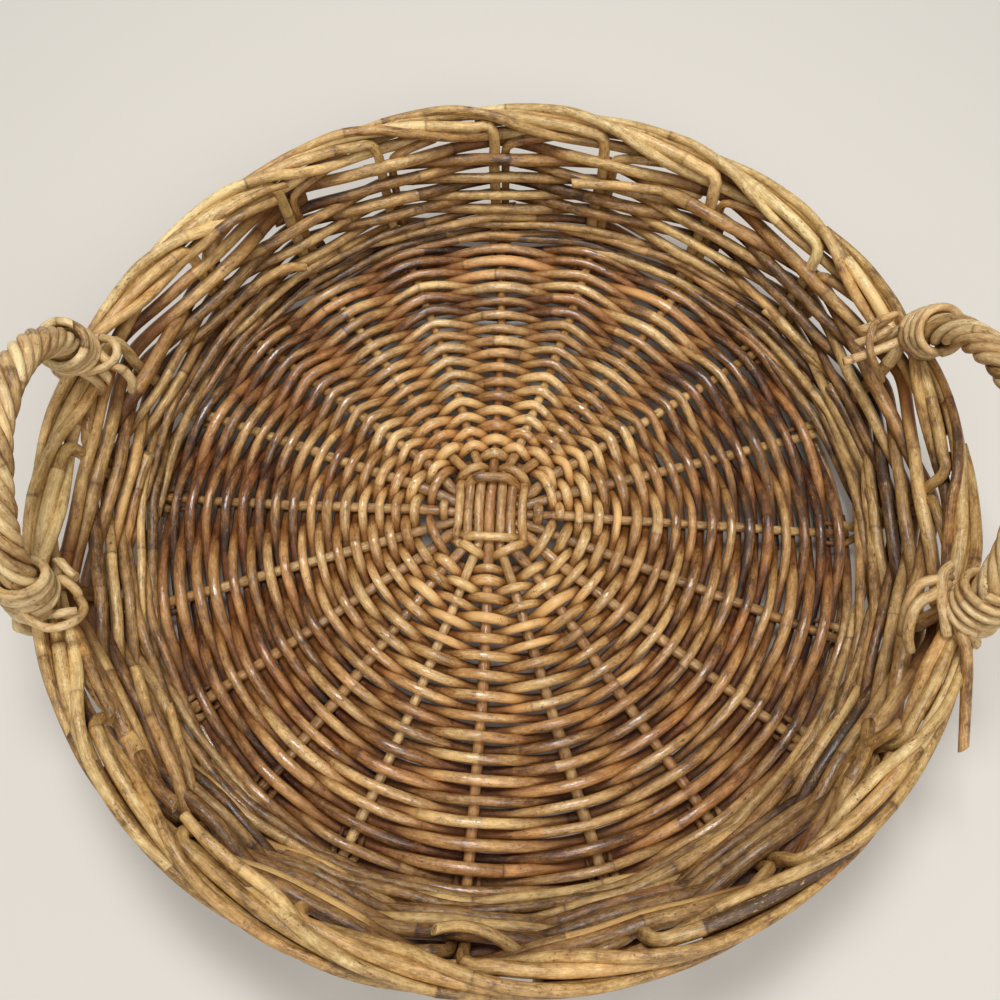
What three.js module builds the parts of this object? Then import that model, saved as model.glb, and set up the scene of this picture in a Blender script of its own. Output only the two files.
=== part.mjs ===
import * as THREE from "three";

// Driving dimensions, in millimetres and degrees
const rimDiameter = 459; // outside of the rolled border
const borderHeight = 80.4; // centre line of the border above the floor
const borderThickness = 17.4; // the rolled border, seen in section
const openingUnderBorder = 5; // between the top row of the side and the border
const baseRadius = 190; // out to the cut ends of the base sticks
const baseEdge = 7; // left bare at the ends of the base sticks, past the last row
const domeRise = 15.6; // how far the middle of the base is pushed up
const baseTurn = -2.8; // how far the whole frame is turned from the X axis
const hubShift = { x: -7, y: 5 }; // from the middle of the rim to the middle of the base
const sticksEachWay = 5;
const stickThickness = 5.4;
const weaverThickness = 4.8;
const stakeThickness = 6;
const byeStakeThickness = 5.2;
const stakeFootLength = 30; // how far a stake is pushed into the base
const footRingThickness = 5.6;
const wallRodThickness = 5.4;
const strandStart = 168; // where a strand joins the border, as an angle round the border's own section
const strandRoll = 240; // degrees that it rolls from there, over the top and under
const byeStakeRun = 13; // how far a second stake runs along under the border
const ropeThickness = 17;
const ropeStrands = 6;
const ropeLay = 45; // length of one turn of the rope's strands, which turn left-handed
const lashingThickness = 4.8;
const lashingTurns = 3;
const gap = 0.3; // left between pieces that touch

// The two handles. Each foot stands by the stake nearest to the named angle, a few degrees beyond it.
// A tail is the loose end of the foot's lashing.
const handles = [
  {
    name: "left",
    rise: 69.5,
    lean: 0,
    feet: [
      { name: "far", near: 160, beyond: 5.3, tail: 6 },
      { name: "near", near: 196, beyond: 3.8, tail: 6 },
    ],
  },
  {
    name: "right",
    rise: 62.5,
    lean: 15,
    feet: [
      { name: "near", near: -20, beyond: 1.1, tail: 50 },
      { name: "far", near: 16, beyond: 1.9, tail: 6 },
    ],
  },
];

// Sizes that follow from these
const spokeCount = sticksEachWay * 4;
const spokeAngle = 360 / spokeCount;
const borderRadius = rimDiameter / 2 - borderThickness / 2;
const strandRadius = borderThickness / 2 - stakeThickness / 2;
const stickLevel = footRingThickness + stakeThickness / 2 + gap;
const rowPitch = weaverThickness + gap * 1.2;
const tieReach = (sticksEachWay * (stickThickness + gap)) / 2 + weaverThickness * 1.5;
const basket = new THREE.Group();

const radians = THREE.MathUtils.degToRad;
const degrees = THREE.MathUtils.radToDeg;

// A point by its angle, its distance from the middle, its height and a step sideways. The base runs out evenly
// from its own middle, so outside it the angles are spread by as much as that lies off the middle of the rim.
function at(angle, radius, height, sideways = 0) {
  const share = Math.min(1, radius / baseRadius);
  const even = radians(angle);
  const spread = (hubShift.y * Math.cos(even) - hubShift.x * Math.sin(even)) / baseRadius;
  const a = even + spread * share;
  return new THREE.Vector3(
    hubShift.x * (1 - share) + radius * Math.cos(a) - sideways * Math.sin(a),
    hubShift.y * (1 - share) + radius * Math.sin(a) + sideways * Math.cos(a),
    height,
  );
}

// A rod's centre line through chosen points, with one ring of the rod at each of them
class RodPath extends THREE.Curve {
  constructor(points, twist = 0) {
    super();
    this.points = points;
    this.twist = twist;
  }

  getPointAt(u, target = new THREE.Vector3()) {
    const last = this.points.length - 1;
    return target.copy(this.points[Math.min(last, Math.round(u * last))]);
  }

  getTangentAt(u, target = new THREE.Vector3()) {
    const last = this.points.length - 1;
    const i = Math.round(u * last);
    const before = this.points[Math.max(0, i - 1)];
    const here = this.points[i];
    const after = this.points[Math.min(last, i + 1)];
    const incoming = here.clone().sub(before).normalize();
    const outgoing = after.clone().sub(here).normalize();
    return target.copy(incoming).add(outgoing).normalize();
  }

  computeFrenetFrames(steps, closed) {
    const frames = super.computeFrenetFrames(steps, closed);
    for (let i = 0; i <= steps; i++) {
      const turn = (this.twist * i) / steps;
      frames.normals[i].applyAxisAngle(frames.tangents[i], turn);
      frames.binormals[i].applyAxisAngle(frames.tangents[i], turn);
    }
    return frames;
  }
}

function roundSection(thickness) {
  const corners = [];
  const sides = 5;
  for (let i = 0; i < sides; i++) {
    const a = (i / sides) * Math.PI * 2;
    corners.push(new THREE.Vector2(Math.cos(a), Math.sin(a)).multiplyScalar(thickness / 2));
  }
  return new THREE.Shape(corners);
}

function addPiece(name, geometry, material) {
  const mesh = new THREE.Mesh(geometry, material);
  mesh.name = name;
  basket.add(mesh);
}

function addRod(name, points, thickness, material) {
  const extrudePath = new RodPath(points);
  const steps = points.length - 1;
  const geometry = new THREE.ExtrudeGeometry(roundSection(thickness), { extrudePath, steps });
  addPiece(name, geometry, material);
}

function willow(colour, roughness) {
  return new THREE.MeshStandardMaterial({ color: colour, roughness, metalness: 0 });
}

const stickWillow = willow(0x9a713f, 0.5);
const baseWillow = willow(0xb07c42, 0.42);
const wallWillow = willow(0x8a6a45, 0.5);
const borderWillow = willow(0xb58d52, 0.48);
const ropeWillow = willow(0xb99361, 0.55);

// The base sticks: five lie across five others in the middle, then fan out evenly and curve down to the edge
const straightHalf = tieReach - weaverThickness / 2; // the sticks run side by side until here
const layerStep = (stickThickness + gap) / 2;
const roomForWeaver = (stickThickness + weaverThickness) / 2 + gap;
const spareRoom = 1.12; // in the first row, for a rod that has to bend between two sticks
const firstRowRadius = (spareRoom * roomForWeaver) / Math.sin(radians(spokeAngle / 2));

function baseLevel(radius) {
  return stickLevel + domeRise * (1 - (radius / baseRadius) ** 2);
}

function stickPoints(index, turn, layer) {
  const offset = index * (stickThickness + gap);
  const fan = index * spokeAngle;
  const half = [at(turn, straightHalf, baseLevel(straightHalf) + layer * layerStep, -offset)];
  for (const share of [0, 0.2, 0.4, 0.6, 0.8, 1]) {
    const radius = firstRowRadius + (baseRadius - firstRowRadius) * share;
    half.push(at(turn - fan, radius, baseLevel(radius)));
  }
  return half;
}

for (const [way, turn, layer] of [["across", 0, -1], ["along", 90, 1]]) {
  const middle = (sticksEachWay - 1) / 2;
  for (let i = 0; i < sticksEachWay; i++) {
    const index = i - middle;
    const nearHalf = stickPoints(index, baseTurn + turn, layer);
    const farHalf = stickPoints(-index, baseTurn + turn + 180, layer);
    addRod(`base_stick_${way}_${i + 1}`, [...farHalf.reverse(), ...nearHalf], stickThickness, stickWillow);
  }
}

// The base weavers: two rods that chase each other outwards, each over the sticks that the other goes under.
// Near the middle, and where the stakes' feet lie beside the sticks, a stroke is flat on top.
const plainLift = roomForWeaver + gap / 2;
const bundleLift = (stakeThickness + weaverThickness) / 2 + gap;
const bundleStart = baseRadius - stakeFootLength - weaverThickness;
const plainFlat = weaverThickness / 2;
const bundleFlat = (stickThickness + stakeThickness) / 2 + weaverThickness / 2;
const closeRows = firstRowRadius + rowPitch * 3;
const baseRowCount = 1 + Math.floor((baseRadius - baseEdge - firstRowRadius) / rowPitch);
const tieLift = plainLift + layerStep * 0.8; // the first stroke crosses the five sticks of one layer

function tieRound() {
  const points = [];
  for (let side = 0; side < 4; side++) {
    const over = side % 2 === 1 ? 1 : -1;
    const turn = baseTurn + side * 90;
    const level = baseLevel(tieReach) + over * tieLift;
    const reach = tieReach - gap * 3;
    points.push(at(turn, tieReach, level, -reach), at(turn, tieReach, level, reach));
  }
  return points;
}

function baseWeaver(row, firstSpoke) {
  const points = [];
  const lastSpoke = ((baseRowCount - row - 1) / 2) * spokeCount;
  for (let spoke = firstSpoke; spoke <= lastSpoke; spoke++) {
    const radius = firstRowRadius + rowPitch * (row + (2 * spoke) / spokeCount);
    const angle = baseTurn + (spoke - (sticksEachWay - 1) / 2) * spokeAngle;
    const over = (spoke + row) % 2 === 0 ? 1 : -1;
    const bundled = radius > bundleStart;
    const height = baseLevel(radius) + over * (bundled ? bundleLift : plainLift);
    const flat = bundled ? bundleFlat : plainFlat;
    const bends = bundled || radius < closeRows ? [-flat, flat] : [0];
    for (const sideways of bends) points.push(at(angle, radius, height, sideways));
  }
  return points;
}

addRod("base_weaver_a", [...tieRound(), ...baseWeaver(0, 0)], weaverThickness, baseWillow);
addRod("base_weaver_b", baseWeaver(1, 1), weaverThickness, baseWillow);

// The foot ring: a rod under the edge of the base, cut flat where the basket stands
const footRingRadius = baseRadius - gap;

function footRing() {
  const profile = [];
  const sides = 6;
  for (let i = 0; i <= sides; i++) {
    const a = radians(-60 + (i * 360) / sides);
    const across = (Math.cos(a) * footRingThickness) / 2;
    const up = (Math.sin(a) * footRingThickness) / 2 / Math.sin(radians(60));
    profile.push(new THREE.Vector2(footRingRadius + across, up));
  }
  const ring = new THREE.LatheGeometry(profile, spokeCount * 2);
  ring.rotateX(Math.PI / 2);
  ring.translate(0, 0, footRingThickness / 2);
  return ring;
}

addPiece("foot_ring", footRing(), stickWillow);

// The side: stakes stand in pairs at the end of every base stick and lean out to the border
const entryTurn = 225; // where the side meets the border, as an angle round the border's own section
const wallTop = borderPoint(entryTurn);
const bendRise = 5.6; // a stake turns up within this height
const bendReach = 3.4; // and this far past the end of its base stick
const wallFootRadius = baseRadius + bendRise + gap * 2;
const wallFootHeight = stickLevel + bendRise;

function borderPoint(turn, reach = strandRadius) {
  const radius = borderRadius + reach * Math.cos(radians(turn));
  return { radius, height: borderHeight + reach * Math.sin(radians(turn)) };
}

function wallRadius(height) {
  const share = (height - wallFootHeight) / (wallTop.height - wallFootHeight);
  return wallFootRadius + (wallTop.radius - wallFootRadius) * share;
}

function stakeFoot(angle, side, thickness) {
  const beside = side * ((stickThickness + thickness) / 2 + gap);
  const start = baseRadius - stakeFootLength;
  return [
    at(angle, start, baseLevel(start), beside),
    at(angle, baseRadius - bendRise / 2, stickLevel, beside),
    at(angle, baseRadius + bendReach, stickLevel + bendReach / 2, beside - side * gap * 3),
    at(angle, wallFootRadius, wallFootHeight, (side * (thickness + gap)) / 2),
  ];
}

const stand = (stakeThickness + gap) / 2; // the first stake's step aside from the end of its base stick
const strandTurn = degrees(2 * Math.asin((stakeThickness + gap * 2) / (2 * strandRadius)));
const rollPerDegree = strandTurn / spokeAngle;
const borderStep = spokeAngle / 2;
const swing = stakeThickness * 0.4; // a stake swings aside by this much as it passes the inside of the border
const elbowTurn = strandStart + strandTurn / 2; // and bends over to one side there

function sideStake(angle) {
  const points = stakeFoot(angle, 1, stakeThickness);
  const turnIn = wallTop.height - stakeThickness;
  points.push(at(angle, wallRadius(turnIn), turnIn, stand));
  const elbow = borderPoint(elbowTurn);
  points.push(at(angle, elbow.radius, elbow.height, stand + swing));
  for (let along = borderStep / 2; along * rollPerDegree < strandRoll; along += borderStep) {
    const roll = borderPoint(strandStart - along * rollPerDegree);
    points.push(at(angle + along, roll.radius, roll.height));
  }
  return points;
}

const underBorder = (borderThickness + byeStakeThickness) / 2 + gap * 2;

function byeStake(angle) {
  const points = stakeFoot(angle, -1, byeStakeThickness);
  const beside = -(byeStakeThickness + gap) / 2;
  const bend = borderPoint(entryTurn, underBorder);
  const turnIn = bend.height - byeStakeThickness;
  points.push(at(angle, wallRadius(turnIn), turnIn, beside));
  points.push(at(angle, bend.radius, bend.height, beside - byeStakeThickness / 2));
  points.push(at(angle, bend.radius, bend.height, beside - byeStakeRun));
  return points;
}

// At the four handle feet the handle's own rods take the place of the second stake
function footSpoke(foot) {
  return Math.round((foot.near - baseTurn) / spokeAngle);
}

function footAngle(foot) {
  return baseTurn + footSpoke(foot) * spokeAngle + foot.beyond;
}

const allFeet = handles.flatMap((handle) => handle.feet);
const footSpokes = allFeet.map((foot) => (footSpoke(foot) + spokeCount) % spokeCount);

for (let spoke = 0; spoke < spokeCount; spoke++) {
  const angle = baseTurn + spoke * spokeAngle;
  const number = String(spoke + 1).padStart(2, "0");
  addRod(`side_stake_${number}`, sideStake(angle), stakeThickness, borderWillow);
  if (footSpokes.includes(spoke)) continue;
  addRod(`bye_stake_${number}`, byeStake(angle), byeStakeThickness, wallWillow);
}

// The wall weavers: two thicker rods that chase each other up the side, in and out of the stake pairs
const wallLift = (stakeThickness + wallRodThickness) / 2 + gap;
const wallSlope = Math.atan2(wallTop.radius - wallFootRadius, wallTop.height - wallFootHeight);
const firstWallRow = wallFootHeight + gap * 6;
const lastWallRow = borderHeight - (borderThickness + wallRodThickness) / 2 - openingUnderBorder;
const wallRise = wallRodThickness * 1.1 * Math.cos(wallSlope); // from one row to the next
const wallRowCount = Math.round((lastWallRow - firstWallRow) / wallRise);

function wallWeaver(row, firstSpoke) {
  const points = [];
  const lastSpoke = ((wallRowCount - row) / 2) * spokeCount;
  for (let spoke = firstSpoke; spoke <= lastSpoke; spoke++) {
    const height = firstWallRow + wallRise * (row + (2 * spoke) / spokeCount);
    const outside = (spoke + row) % 2 === 0 ? 1 : -1;
    const radius = wallRadius(height) + (outside * wallLift) / Math.cos(wallSlope);
    const angle = baseTurn + spoke * spokeAngle;
    points.push(at(angle, radius, height, -stand), at(angle, radius, height, stand));
  }
  return points;
}

addRod("wall_weaver_a", wallWeaver(0, 0), wallRodThickness, wallWillow);
addRod("wall_weaver_b", wallWeaver(1, -spokeCount / 2), wallRodThickness, wallWillow);

// The handles: rods twisted into a rope that arches from one foot on the border to the other
const borderTop = borderHeight + borderThickness / 2;
const ropeSeat = borderTop - ropeThickness * 0.3; // the arch springs from just inside the border
const ropeFootHeight = borderTop + ropeThickness * 0.06 + gap; // clears the border with its slanting end
const archSteps = 30;

function archPoint(handle, turn) {
  const [first, second] = handle.feet.map((foot) => at(footAngle(foot), borderRadius, ropeSeat));
  const middle = first.clone().add(second).multiplyScalar(0.5);
  const out = new THREE.Vector3(middle.x, middle.y, 0).normalize();
  const point = middle.clone().addScaledVector(first.clone().sub(second), Math.cos(turn) / 2);
  point.addScaledVector(out, handle.lean * Math.sin(turn) ** 2);
  point.z += handle.rise * Math.sin(turn);
  return point;
}

function archStart(handle) {
  return Math.asin((ropeFootHeight - ropeSeat) / handle.rise);
}

function archPoints(handle) {
  const start = archStart(handle);
  const points = [];
  for (let i = 0; i <= archSteps; i++) {
    points.push(archPoint(handle, start + ((Math.PI - 2 * start) * i) / archSteps));
  }
  return points;
}

function lengthsAlong(points) {
  const along = [0];
  for (let i = 1; i < points.length; i++) along.push(along[i - 1] + points[i].distanceTo(points[i - 1]));
  return along;
}

function ropeSection() {
  const corners = [];
  const valley = 0.8; // how far in the grooves between the strands lie, as a share of the rope's radius
  for (let i = 0; i < ropeStrands * 2; i++) {
    const a = (i / ropeStrands) * Math.PI;
    const reach = (ropeThickness / 2) * (i % 2 === 0 ? 1 : valley);
    corners.push(new THREE.Vector2(Math.cos(a), Math.sin(a)).multiplyScalar(reach));
  }
  return new THREE.Shape(corners);
}

for (const handle of handles) {
  const points = archPoints(handle);
  const extrudePath = new RodPath(points, (-lengthsAlong(points).at(-1) / ropeLay) * Math.PI * 2);
  const geometry = new THREE.ExtrudeGeometry(ropeSection(), { extrudePath, steps: archSteps });
  addPiece(`handle_rope_${handle.name}`, geometry, ropeWillow);
}

// The lashings: at each foot a rod goes once round the border and then winds up round the rope
const lashingPitch = lashingThickness * 1.44; // leaves room on the inside of the rope's bend
const borderLoop = (borderThickness + lashingThickness) / 2 + gap * 3.7; // keeps off the stakes too
const ropeLoop = (ropeThickness + lashingThickness) / 2 + gap * 2;
const tailDroop = 0.2; // a tail drops by this share of its length
const lashingLift = lashingThickness * 0.75; // from the rope's foot up to the middle of the first turn
const stepsPerTurn = 12;
const loopStart = 5; // the loop round the border begins on the outside, as an angle round the border's section
const loopEnd = -256; // and ends inside the rim, where the rod steps up to the rope

function extended(end, before, length) {
  return end.clone().add(end.clone().sub(before).setLength(length));
}

function borderRound(angle) {
  const points = [];
  for (let turn = loopStart; turn > loopEnd; turn -= 360 / stepsPerTurn) {
    const ring = borderPoint(turn, borderLoop);
    points.push(at(angle, ring.radius, ring.height, ropeLoop));
  }
  return points;
}

function ropeRound(handle, foot) {
  const points = [];
  const back = foot === handle.feet[1];
  const middle = at(footAngle(foot), borderRadius, 0);
  const sideways = at(footAngle(foot), borderRadius, 0, 1).sub(middle);
  const outward = at(footAngle(foot), borderRadius + 1, 0).sub(middle);
  for (let i = 0; i <= lashingTurns * stepsPerTurn; i++) {
    const climb = lashingLift + (lashingPitch * i) / stepsPerTurn;
    const turn = archStart(handle) + climb / handle.rise;
    const [centre, next] = [turn, turn + 0.01].map((t) => archPoint(handle, back ? Math.PI - t : t));
    const axis = next.sub(centre).normalize();
    const across = sideways.clone().projectOnPlane(axis).normalize();
    const away = outward.clone().projectOnPlane(axis).normalize();
    const a = (i / stepsPerTurn) * Math.PI * 2;
    centre.addScaledVector(across, ropeLoop * Math.cos(a)).addScaledVector(away, ropeLoop * Math.sin(a));
    points.push(centre);
  }
  return points;
}

function lashing(handle, foot) {
  const points = [...borderRound(footAngle(foot)), ...ropeRound(handle, foot)];
  const start = extended(points[0], points[1], lashingThickness);
  const end = extended(points.at(-1), points.at(-2), lashingThickness);
  const back = at(footAngle(foot), borderRadius, 0, -foot.tail).sub(at(footAngle(foot), borderRadius, 0));
  const tail = start.clone().add(back).setZ(start.z - foot.tail * tailDroop);
  return [tail, start, ...points, end];
}

// The least space between two parts of one rod that are over three thicknesses apart along it
function leastGap(points, thickness) {
  const fine = [];
  for (let i = 1; i < points.length; i++) {
    for (let step = 0; step < 4; step++) fine.push(points[i - 1].clone().lerp(points[i], step / 4));
  }
  const along = lengthsAlong(fine);
  let least = Infinity;
  for (let i = 0; i < fine.length; i++) {
    for (let j = i + 1; j < fine.length; j++) {
      if (along[j] - along[i] > thickness * 3) least = Math.min(least, fine[i].distanceTo(fine[j]) - thickness);
    }
  }
  return least;
}

for (const handle of handles) {
  for (const foot of handle.feet) {
    const name = `lashing_${handle.name}_${foot.name}`;
    const points = lashing(handle, foot);
    console.log(`${name}: least gap to itself ${leastGap(points, lashingThickness).toFixed(2)} mm`);
    addRod(name, points, lashingThickness, ropeWillow);
  }
}

// The origin is under the middle of the basket, on the floor
const bounds = new THREE.Box3().setFromObject(basket);
basket.position.set(-(bounds.min.x + bounds.max.x) / 2, -(bounds.min.y + bounds.max.y) / 2, -bounds.min.z);

export default basket;
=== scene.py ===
import math

import bpy
import numpy as np
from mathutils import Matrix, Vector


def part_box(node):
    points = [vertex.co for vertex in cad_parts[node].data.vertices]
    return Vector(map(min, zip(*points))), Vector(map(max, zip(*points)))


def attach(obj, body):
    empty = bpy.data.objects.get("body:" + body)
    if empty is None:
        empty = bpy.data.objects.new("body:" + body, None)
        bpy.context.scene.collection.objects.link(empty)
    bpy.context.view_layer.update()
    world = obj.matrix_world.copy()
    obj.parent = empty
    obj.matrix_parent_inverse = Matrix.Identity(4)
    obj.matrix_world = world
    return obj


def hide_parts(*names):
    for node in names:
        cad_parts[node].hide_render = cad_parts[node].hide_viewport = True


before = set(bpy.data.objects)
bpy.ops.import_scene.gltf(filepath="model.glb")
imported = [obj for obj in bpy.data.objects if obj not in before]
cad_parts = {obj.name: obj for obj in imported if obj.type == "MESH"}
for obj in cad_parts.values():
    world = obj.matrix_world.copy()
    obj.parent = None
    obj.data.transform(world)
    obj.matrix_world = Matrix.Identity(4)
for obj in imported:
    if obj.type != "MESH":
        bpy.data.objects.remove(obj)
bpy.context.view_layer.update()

# The basket is seen from above and a little in front, as one looks down at a tray on a table.
camera_lens = bpy.data.cameras.new("view")
camera_lens.sensor_width = 36.0
camera_lens.lens = 35.93
camera = bpy.data.objects.new("view", camera_lens)
camera.location = (-0.0025, -0.1893, 0.528)
camera.rotation_euler = (math.radians(21.75), 0.0, 0.0)
bpy.context.scene.collection.objects.link(camera)
bpy.context.scene.camera = camera
bpy.context.scene.view_settings.view_transform = "Standard"

# The base sticks: ten cut lengths of cane, five laid across five others in the middle of the base.
# From there they fan out and curve down to the edge, where they are cut. The middle of the base lies
# a little off the middle of the rim. Lengths are in millimetres and angles in degrees in this file.
metres = 0.001
stick_count = 5
stick_thickness = 5.4
clearance = 0.3
spoke_count = stick_count * 4
spoke_angle = 360.0 / spoke_count
frame_turn = -2.8
hub_shift = (-7.0, 5.0)
base_radius = 190.0
stick_level = 8.9
dome_rise = 15.6
straight_reach = 19.1
fan_reach = 38.7
layer_step = (stick_thickness + clearance) / 2
ring_low, ring_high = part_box("foot_ring")
rim_middle = [(low + high) / 2 / metres for low, high in zip(ring_low[:2], ring_high[:2])]

# how far some spokes stray at the edge from their even places, in degrees
stray = {0: 0.5, 1: 0.8, 2: 1.0, 3: 1.4, 4: 1.5, 5: 0.9, 6: 1.5, 7: 0.5, 8: -0.5, 9: -0.9, 10: -1.5, 12: 0.9,
         13: 0.3, 14: -1.4, 15: -0.5, 16: 1.6, 17: 1.5, 18: 1.6, 19: 0.8}


def at(angle, radius, height, sideways=0.0):
    """A point by its angle, its distance from the middle, its height and a step sideways"""
    share = np.minimum(1.0, np.asarray(radius) / base_radius)
    even = np.radians(angle)
    a = even + share * (hub_shift[1] * np.cos(even) - hub_shift[0] * np.sin(even)) / base_radius
    return np.stack(np.broadcast_arrays(
        rim_middle[0] + hub_shift[0] * (1.0 - share) + radius * np.cos(a) - sideways * np.sin(a),
        rim_middle[1] + hub_shift[1] * (1.0 - share) + radius * np.sin(a) + sideways * np.cos(a),
        height), axis=-1).astype(float)


def base_level(radius):
    return stick_level + dome_rise * (1.0 - (radius / base_radius) ** 2)


def spoke_turn(spoke, radius):
    """The angle of a spoke at a radius, spokes counted round from the one at the right"""
    spoke = np.asarray(spoke, float)
    whole = np.floor(spoke).astype(int)
    part = spoke - whole
    here = np.vectorize(lambda s: stray.get(s % spoke_count, 0.0))
    shift = here(whole) * (1.0 - part) + here(whole + 1) * part
    share = np.clip((np.asarray(radius) - fan_reach) / (base_radius - fan_reach), 0.0, 1.0)
    return frame_turn + spoke * spoke_angle + shift * share


def smooth(points, spacing=1.5):
    """A centre line bent smoothly through the given points"""
    p = np.asarray(points, float)
    chord = np.linalg.norm(np.diff(p, axis=0), axis=1)
    time = np.concatenate([[0.0], np.cumsum(np.sqrt(chord))])
    slope = np.gradient(p, time, axis=0)
    line = []
    for i, length in enumerate(chord):
        span = time[i + 1] - time[i]
        s = np.linspace(0.0, 1.0, max(2, int(length / spacing) + 1), endpoint=False)[:, None]
        line.append((2 * s**3 - 3 * s**2 + 1) * p[i] + (s**3 - 2 * s**2 + s) * span * slope[i]
                    + (3 * s**2 - 2 * s**3) * p[i + 1] + (s**3 - s**2) * span * slope[i + 1])
    return np.concatenate(line + [p[-1:]])


def length_along(line):
    """How far each point of a line is from its start"""
    return np.concatenate([[0.0], np.cumsum(np.linalg.norm(np.diff(line, axis=0), axis=1))])


# what the finish is told about each point of a cane
look_columns = ("tone", "warmth", "knot", "stain", "cut", "shade")
tone_column, cut_column, shade_column = (look_columns.index(name) for name in ("tone", "cut", "shade"))


def rod(draw, line, thickness, tone, warmth, step=3.6, taper=0.08, internode=95.0, slant=0.3, sides=10,
        wobble=0.0, pointed=0.0):
    """One cane along a centre line, with its knuckles, its uneven thickness and its two cut ends"""
    along = length_along(line)
    length = along[-1]
    internodes = internode * draw.uniform(0.55, 1.45, int(length / internode * 1.8) + 3)
    knuckles = np.cumsum(internodes) - internode * draw.uniform(0.0, 1.0)
    clear_end = 3.0
    knuckles = knuckles[(knuckles > clear_end) & (knuckles < length - clear_end)]
    around_knuckle = np.array([-1.5, -0.5, 0.0, 0.5, 1.5])
    stops = np.linspace(0.0, length, max(3, int(length / step)))
    if len(knuckles):
        gap = np.abs(stops[:, None] - knuckles).min(axis=1)
        stops = np.sort(np.concatenate([stops[gap > 2.0], (knuckles[:, None] + around_knuckle).ravel()]))
    centre = np.stack([np.interp(stops, along, line[:, k]) for k in range(3)], axis=1)
    tangent = np.gradient(centre, stops, axis=0)
    tangent /= np.linalg.norm(tangent, axis=1)[:, None]
    # two directions across the cane, carried along it without a twist
    side = np.zeros_like(centre)
    start = np.cross(tangent[0], [0.0, 0.0, 1.0]) + np.array([1e-4, 0.0, 0.0])
    for i, t in enumerate(tangent):
        start = start - t * start.dot(t)
        start /= np.linalg.norm(start)
        side[i] = start
    up = np.cross(tangent, side)
    wave = draw.uniform(0.0, 6.0, 6)
    swing = wobble * (np.sin(stops / 7.0 + wave[0]) + np.sin(stops / 16.0 + wave[1]))
    centre = centre + swing[:, None] * side
    centre = centre + wobble * 0.6 * np.sin(stops / 11.0 + wave[2])[:, None] * up

    # a knuckle stands out a little, with a dark line round it and often a stain on one side of it
    swell = np.zeros(len(stops))
    knot = np.zeros(len(stops))
    stain = np.zeros(len(stops))
    if len(knuckles):
        away = stops[:, None] - knuckles
        swell = (0.05 * np.exp(-(away / 1.5) ** 2)).max(axis=1)
        mark = draw.uniform(0.25, 1.0, len(knuckles))
        knot = (mark * np.clip(1.0 - np.abs(away) / 0.8, 0.0, 1.0)).max(axis=1)
        facing = draw.choice([-1.0, 1.0], len(knuckles))
        stained = np.where(draw.random(len(knuckles)) < 0.45, draw.uniform(0.3, 1.0, len(knuckles)), 0.0)
        ahead = away * facing
        fade = np.where(ahead > 0.0, np.exp(-np.abs(ahead) / 9.0), np.exp(-np.abs(ahead) / 1.5))
        stain = (stained * fade).max(axis=1)
    wander = np.sin(stops / 13.0 + wave[3]) * 0.035 + np.sin(stops / 47.0 + wave[4]) * 0.045
    radius = thickness / 2 * (1.0 + taper * (0.5 - stops / length)) * (1.0 + swell + wander)
    if pointed:
        radius = radius * np.clip(0.3 + 0.7 * stops / pointed, 0.0, 1.0)

    # every length between two knuckles has a tone of its own
    internode_number = np.searchsorted(knuckles, stops)
    lighter = draw.normal(0.0, 0.15, len(knuckles) + 1)[internode_number]
    warmer = draw.normal(0.0, 0.22, len(knuckles) + 1)[internode_number]
    drift = np.sin(stops / 61.0 + wave[5]) * 0.07
    tones = np.full(len(stops), float(tone)) if np.ndim(tone) == 0 else np.interp(stops, along, tone)
    nothing = np.zeros(len(stops))
    look = np.stack([tones + lighter + drift, warmth + warmer - drift, knot, stain, nothing, nothing], axis=1)

    # the slightly oval section, with each point's place on the cane, which the finish is painted by
    turn = np.arange(sides) / sides * 2 * math.pi
    lean = draw.uniform(0, 2 * math.pi, 2)
    oval = 1.0 + 0.04 * np.cos(2 * turn + lean[0])
    circle = np.stack([np.cos(turn), np.sin(turn)], axis=1) * oval[:, None]
    ring = circle[None] * radius[:, None, None]
    points = centre[:, None] + ring[..., :1] * side[:, None] + ring[..., 1:] * up[:, None]
    offset = draw.uniform(0, 4000)
    lengthwise = np.broadcast_to((stops + offset)[:, None, None], ring.shape[:2] + (1,))
    cane = np.concatenate([ring, lengthwise], axis=2)
    looks = np.broadcast_to(look[:, None], ring.shape[:2] + (len(look_columns),)).copy()

    # each cut end is slanted, with a small bevel round its flat face
    cut_share, bevel = 0.86, 0.35
    ends = []
    for i, sign, bend in ((0, -1.0, lean[0]), (-1, 1.0, lean[1])):
        cut = slant * draw.uniform(-1.0, 1.0) * radius[i] * np.cos(turn + bend)
        points[i] += tangent[i] * cut[:, None]
        rim = centre[i] + (points[i] - centre[i]) * cut_share + tangent[i] * sign * bevel
        rim_look = looks[i].copy()
        rim_look[:, cut_column] = 1.0
        ends.append((rim, cane[i] * [cut_share, cut_share, 1.0], rim_look))
    points = np.concatenate([ends[0][0][None], points, ends[1][0][None]]).reshape(-1, 3)
    cane = np.concatenate([ends[0][1][None], cane, ends[1][1][None]]).reshape(-1, 3)
    looks = np.concatenate([ends[0][2][None], looks, ends[1][2][None]]).reshape(-1, len(look_columns))

    rings = len(stops) + 2
    first = np.arange(rings - 1)[:, None] * sides + np.arange(sides)
    second = np.arange(rings - 1)[:, None] * sides + (np.arange(sides) + 1) % sides
    quads = np.stack([first, second, second + sides, first + sides], axis=-1).reshape(-1, 4)
    caps = [list(range(sides))[::-1], list(range((rings - 1) * sides, rings * sides))]
    return {"points": points, "cane": cane, "looks": looks, "quads": quads, "caps": caps}


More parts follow.
